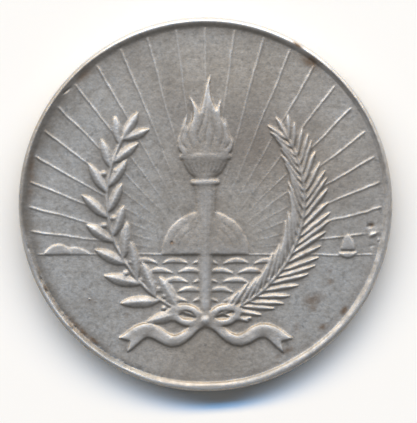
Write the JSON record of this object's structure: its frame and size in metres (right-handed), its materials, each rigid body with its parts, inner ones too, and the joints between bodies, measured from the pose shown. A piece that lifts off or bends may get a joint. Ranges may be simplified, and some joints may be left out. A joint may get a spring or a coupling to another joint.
{
  "type": "medallion",
  "caption": "Round struck silver medallion with a narrow raised rim, torch, rising sun, laurel and palm in low relief, and a plain back.",
  "frame": {"origin": "centre of the plane that the reverse rim rests on", "axes": "+Z out of the obverse, the face with the relief; +Y towards the top of the design"},
  "size_m": [0.05, 0.05, 0.0038],
  "materials": {
    "silver": null
  },
  "bodies": {
    "root": {"medallion": "silver"}
  },
  "joints": []
}
